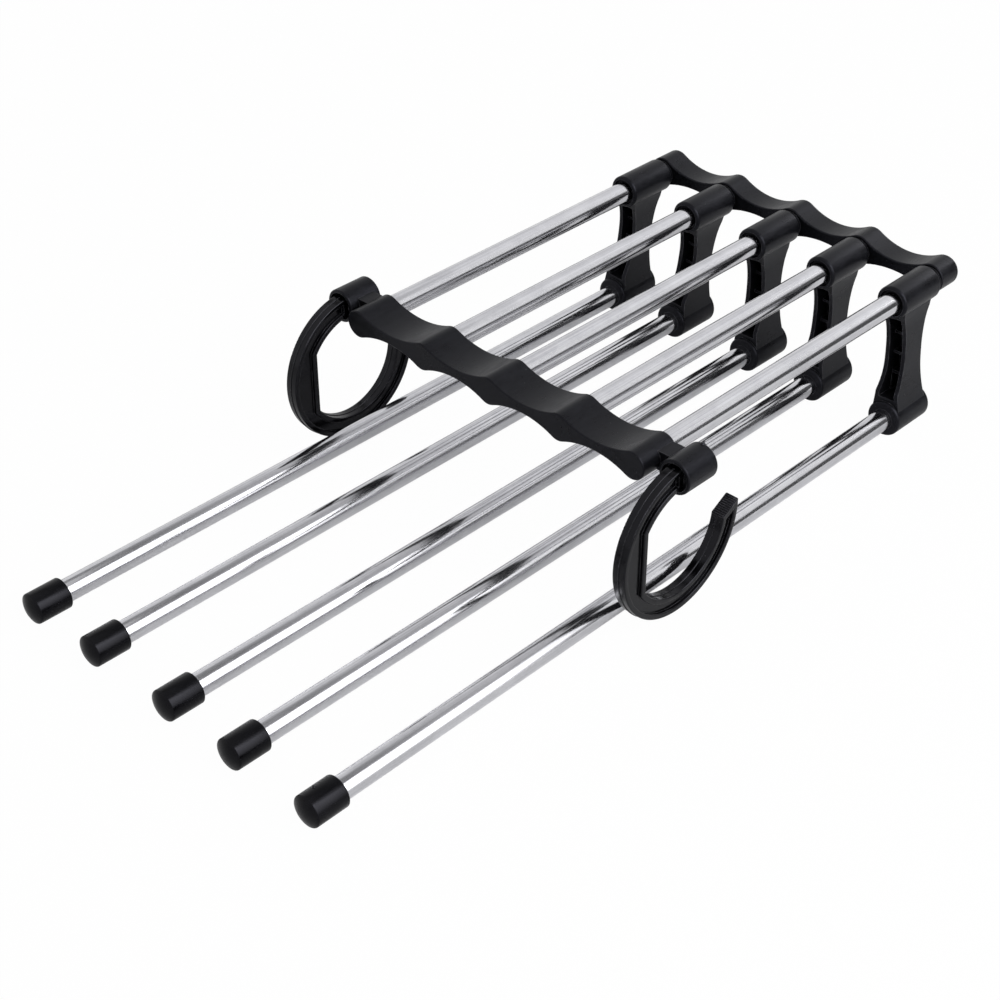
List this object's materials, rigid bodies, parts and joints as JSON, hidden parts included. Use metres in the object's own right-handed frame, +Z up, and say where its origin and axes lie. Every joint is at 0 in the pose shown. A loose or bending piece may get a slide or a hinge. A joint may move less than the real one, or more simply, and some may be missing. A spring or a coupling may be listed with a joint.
{
  "type": "multi-tier trouser hanger",
  "caption": "Folding multi-tier trouser hanger: scalloped plastic beams joined by steel tubes, swinging links that carry long capped steel rods, and turning C-shaped hooks for a closet rail.",
  "frame": {"origin": "under the middle of the hanger, at the level of the surface that it stands on", "axes": "+X along the two beams, +Y along the tubes and rods towards the rear beam, +Z up"},
  "size_m": [0.1872, 0.3602, 0.0688],
  "materials": {
    "steel": "polished",
    "frame_plastic": "satin",
    "hook_plastic": "semi-gloss",
    "cap_plastic": "satin",
    "ring_plastic": "satin"
  },
  "bodies": {
    "frame": {"front_beam": "frame_plastic", "rear_beam": "frame_plastic", "upper_tube_1": "steel", "upper_tube_2": "steel", "upper_tube_3": "steel", "upper_tube_4": "steel", "upper_tube_5": "steel", "retaining_ring_1": "ring_plastic", "retaining_ring_2": "ring_plastic", "retaining_ring_3": "ring_plastic", "retaining_ring_4": "ring_plastic", "retaining_ring_5": "ring_plastic"},
    "arm_1": {"link_1": "frame_plastic", "lower_rod_1": "steel", "end_cap_1": "cap_plastic"},
    "arm_2": {"link_2": "frame_plastic", "lower_rod_2": "steel", "end_cap_2": "cap_plastic"},
    "arm_3": {"link_3": "frame_plastic", "lower_rod_3": "steel", "end_cap_3": "cap_plastic"},
    "arm_4": {"link_4": "frame_plastic", "lower_rod_4": "steel", "end_cap_4": "cap_plastic"},
    "arm_5": {"link_5": "frame_plastic", "lower_rod_5": "steel", "end_cap_5": "cap_plastic"},
    "hook_left": {"hook_left": "hook_plastic"},
    "hook_right": {"hook_right": "hook_plastic"}
  },
  "joints": [
    {"name": "arm_1_swing", "type": "hinge", "parent": "frame", "child": "arm_1", "pos_m": [-0.071, 0.15345, 0.0617], "axis": [0, -1, 0], "range_deg": [-2.9, 19.8]},
    {"name": "arm_2_swing", "type": "hinge", "parent": "frame", "child": "arm_2", "pos_m": [-0.0355, 0.15345, 0.0617], "axis": [0, -1, 0], "range_deg": [-14.5, 25.5]},
    {"name": "arm_3_swing", "type": "hinge", "parent": "frame", "child": "arm_3", "pos_m": [0, 0.15345, 0.0617], "axis": [0, -1, 0], "range_deg": [-20.6, 19.4]},
    {"name": "arm_4_swing", "type": "hinge", "parent": "frame", "child": "arm_4", "pos_m": [0.0355, 0.15345, 0.0617], "axis": [0, -1, 0], "range_deg": [-20, 20]},
    {"name": "arm_5_swing", "type": "hinge", "parent": "frame", "child": "arm_5", "pos_m": [0.071, 0.15345, 0.0617], "axis": [0, -1, 0], "range_deg": [-23.4, 4.3]},
    {"name": "hook_left_turn", "type": "hinge", "parent": "frame", "child": "hook_left", "pos_m": [-0.0866, -0.00565, 0.0617], "axis": [0, -1, 0], "range_deg": [-180, 3]},
    {"name": "hook_right_turn", "type": "hinge", "parent": "frame", "child": "hook_right", "pos_m": [0.0866, -0.00565, 0.0617], "axis": [0, -1, 0], "range_deg": [-3, 180]}
  ]
}
